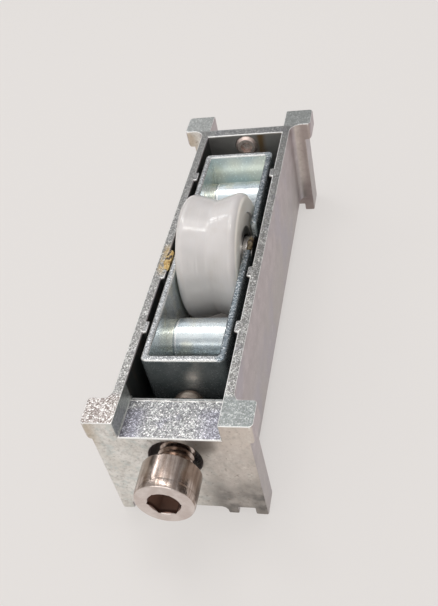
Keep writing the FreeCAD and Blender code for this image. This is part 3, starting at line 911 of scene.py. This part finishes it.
def make_flash(name, low, high, seed):
    """A thin ragged ridge of metal between two corners, wide at its foot and sharp at its top."""
    middle = (low + high) / 2
    size = high - low
    ridge_length = 5 * MM
    sharpness = 0.3
    raggedness = 0.035 * MM
    bpy.ops.object.select_all(action="DESELECT")
    bpy.ops.mesh.primitive_cube_add(size=1.0, location=middle, scale=size)
    ridge = name_piece(name)
    settle(ridge)
    start_edit(ridge)
    choose(ridge, "EDGE", lambda edge: edge.calc_length() > ridge_length)
    bpy.ops.mesh.subdivide(number_cuts=36)
    choose(ridge, "VERT", lambda vertex: vertex.co.z > middle.z)
    narrow = (sharpness, 1, 1) if size.y > size.x else (1, sharpness, 1)
    bpy.ops.transform.resize(value=narrow, center_override=middle)
    bpy.ops.transform.vertex_random(offset=raggedness, uniform=0.0, normal=0.0, seed=seed)
    end_edit()
    smooth(ridge, 60)
    return ridge


def make_lumps(name):
    texture = bpy.data.textures.new(name, "CLOUDS")
    texture.noise_scale = 0.9 * MM
    texture.noise_depth = 2
    return texture


def make_grease_lump(name, centre, size, seed, flat_place, flat_side):
    """A soft lump of grease, pressed flat on one side against the wall that it clings to."""
    bpy.ops.object.select_all(action="DESELECT")
    bpy.ops.mesh.primitive_ico_sphere_add(
        subdivisions=4, radius=0.5, location=centre * MM, scale=size * MM,
    )
    lump = name_piece(name)
    settle(lump)
    start_edit(lump)
    bpy.ops.transform.vertex_random(offset=0.05 * MM, uniform=0.0, normal=1.0, seed=seed)
    bpy.ops.mesh.vertices_smooth(factor=0.5, repeat=3)
    cut_flat(flat_place * MM, flat_side)
    end_edit()
    apply_modifier(lump, "DISPLACE", texture=make_lumps(name), strength=0.35 * MM, texture_coords="LOCAL")
    start_edit(lump)
    cut_flat(flat_place * MM, flat_side)
    end_edit()
    smooth(lump, 70)
    return lump


housing_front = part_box("housing")[0].y
ledge_top = 20.45 * MM
ledge_back = housing_front + 8.8 * MM
flash_foot = ledge_top - 0.05 * MM
flash_left = make_flash(
    "ledge_flash_left",
    Vector((-8.56 * MM, housing_front + 0.5 * MM, flash_foot)),
    Vector((-8.3 * MM, ledge_back - 0.1 * MM, ledge_top + 0.16 * MM)), 3,
)
flash_back = make_flash(
    "ledge_flash_back",
    Vector((-8.5 * MM, ledge_back - 1.2 * MM, flash_foot)),
    Vector((8.5 * MM, ledge_back - 0.98 * MM, ledge_top + 0.11 * MM)), 7,
)
for ridge in (flash_left, flash_back):
    place_piece(ridge, "housing", "housing_zinc", make_turned_steel(
        ridge.name, tone(244, 243, 240), tone(206, 205, 203), 0.26, "X"))

gold = make_grease(
    "gold_grease", tone(124, 90, 44), tone(190, 154, 88), tone(222, 198, 138), tone(244, 236, 208),
)
brown = make_grease(
    "brown_grease", tone(58, 44, 30), tone(104, 88, 64), tone(154, 140, 112), tone(212, 204, 186),
)
grease_left = make_grease_lump(
    "grease_left", Vector((-8.25, -2.2, 23.75)), Vector((1.7, 6.6, 0.9)), 5,
    Vector((-7.62, 0, 23.3)), ACROSS,
)
grease_right = make_grease_lump(
    "grease_right", Vector((6.75, 3.4, 22.6)), Vector((1.1, 5.0, 1.4)), 9,
    Vector((6.22, 4.0, 22.5)), -ACROSS,
)
place_piece(grease_left, "housing", None, gold)
place_piece(grease_right, "carriage", None, brown)


# The bearing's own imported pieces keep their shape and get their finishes

def finish_node(node, finish):
    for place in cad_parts[node].material_slots:
        place.material = finish


shell_steel = make_turned_steel("shell_steel", tone(208, 205, 200), tone(160, 156, 150), 0.24, "X")
needle_steel = make_turned_steel("needle_steel", tone(226, 226, 226), tone(196, 196, 196), 0.10, "X")
finish_node("bearing_shell", shell_steel)
finish_node("needle_cage", make_cage_plastic())
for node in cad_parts:
    if node.startswith("needle_roller"):
        finish_node(node, needle_steel)


# Floor, light and camera

PALE = tone(229, 225, 222)
WARM_LIGHT = tone(255, 252, 248)
WHITE_LIGHT = tone(255, 254, 252)

# Lamps: name, place, the point that each faces, width, depth, watts and colour
LAMPS = [
    ("ceiling", (0.0, 0.02, 0.5), (0, 0, 0.01), 0.5, 0.5, 0.45, WARM_LIGHT),
    ("softbox", (-0.03, 0.09, 0.485), (-0.03, 0, 0.015), 0.24, 0.2, 0.28, WARM_LIGHT),
    ("core", (-0.14, 0.165, 0.445), (0, 0, 0.015), 0.1, 0.08, 0.14, WHITE_LIGHT),
    ("tube", (0.085, 0.036, 0.44), (0.085, 0, 0.02), 0.13, 0.035, 0.10, WHITE_LIGHT),
    ("window", (-0.30, 0.245, 0.32), (0, 0, 0.015), 0.09, 0.06, 0.10, tone(252, 253, 255)),
    ("back_window", (-0.185, 0.35, 0.305), (0, 0, 0.01), 0.2, 0.2, 0.08, tone(250, 252, 255)),
    ("front_fill", (-0.08, -0.46, 0.24), (0, 0, 0.01), 0.4, 0.3, 0.45, tone(255, 253, 250)),
]


def make_floor():
    """A pale floor that glows to the camera and in reflections, except under the part."""
    bpy.ops.object.select_all(action="DESELECT")
    bpy.ops.mesh.primitive_plane_add(size=6.0, location=(0, 0, -0.02 * MM))
    floor = name_piece("floor")
    finish = Finish("pale_floor")
    x, y = finish.places()[:2]
    seen = finish.node("ShaderNodeLightPath", output="Is Camera Ray")
    seen = seen + finish.node("ShaderNodeLightPath", output="Is Glossy Ray")
    seen = seen + finish.node("ShaderNodeLightPath", output="Is Transmission Ray")
    clear = finish.step(abs(x), 7.0, 9.8) + finish.step(abs(y), 34.0, 41.0)
    clear = finish.step(clear, 0.0, 1.0)
    matt = finish.node("ShaderNodeBsdfDiffuse", None, {"Color": PALE})
    glow = finish.node("ShaderNodeEmission", None, {"Color": PALE, "Strength": 1.0})
    both = finish.node("ShaderNodeMixShader", None, {0: seen * clear * 0.72, 1: matt, 2: glow})
    finish.node("ShaderNodeOutputMaterial", None, {"Surface": both})
    floor.data.materials.append(finish.material)


def make_world():
    """A room that is bright overhead, pale in front on the left and dim behind on the right."""
    world = bpy.data.worlds.new("soft_room")
    bpy.context.scene.world = world
    world.use_nodes = True
    finish = Finish("soft_room", world.node_tree)
    x, y, z = finish.split(finish.coordinates("Generated"))
    front = finish.step(x * -0.5 - y * 0.85, -0.5, 0.9)
    dim_corner = finish.step(x * 0.8 + y * 0.6, 0.45, 0.85)
    room = finish.paint(
        finish.mix(front, tone(112, 105, 100), tone(206, 203, 198)),
        (dim_corner, tone(60, 53, 49)),
        (finish.step(z, 0.15, 0.9), tone(205, 206, 208)),
    )
    seen = finish.node("ShaderNodeLightPath", output="Is Camera Ray")
    colour = finish.mix(seen, room, PALE)
    sky = finish.node("ShaderNodeBackground", None, {"Color": colour, "Strength": 1.0})
    finish.node("ShaderNodeOutputWorld", None, {"Surface": sky})


def add_lamp(name, place, target, width, depth, watts, colour):
    data = bpy.data.lights.new(name, "AREA")
    data.shape = "RECTANGLE"
    data.size = width
    data.size_y = depth
    data.energy = watts
    data.color = colour[:3]
    lamp = bpy.data.objects.new(name, data)
    bpy.context.scene.collection.objects.link(lamp)
    lamp.location = place
    lamp.rotation_euler = (Vector(target) - Vector(place)).to_track_quat("-Z", "Y").to_euler()


def make_camera():
    data = bpy.data.cameras.new("camera")
    data.lens = 47.6934
    data.sensor_width = 36.0
    data.clip_start = 0.005
    camera = bpy.data.objects.new("camera", data)
    bpy.context.scene.collection.objects.link(camera)
    camera.location = (0.04006603, -0.11446257, 0.11847121)
    camera.rotation_euler = [radians(turn) for turn in (47.4835119, 10.63112085, 10.21530186)]
    bpy.context.scene.camera = camera


make_floor()
make_world()
for lamp in LAMPS:
    add_lamp(*lamp)
make_camera()
bpy.context.scene.view_settings.view_transform = "Standard"
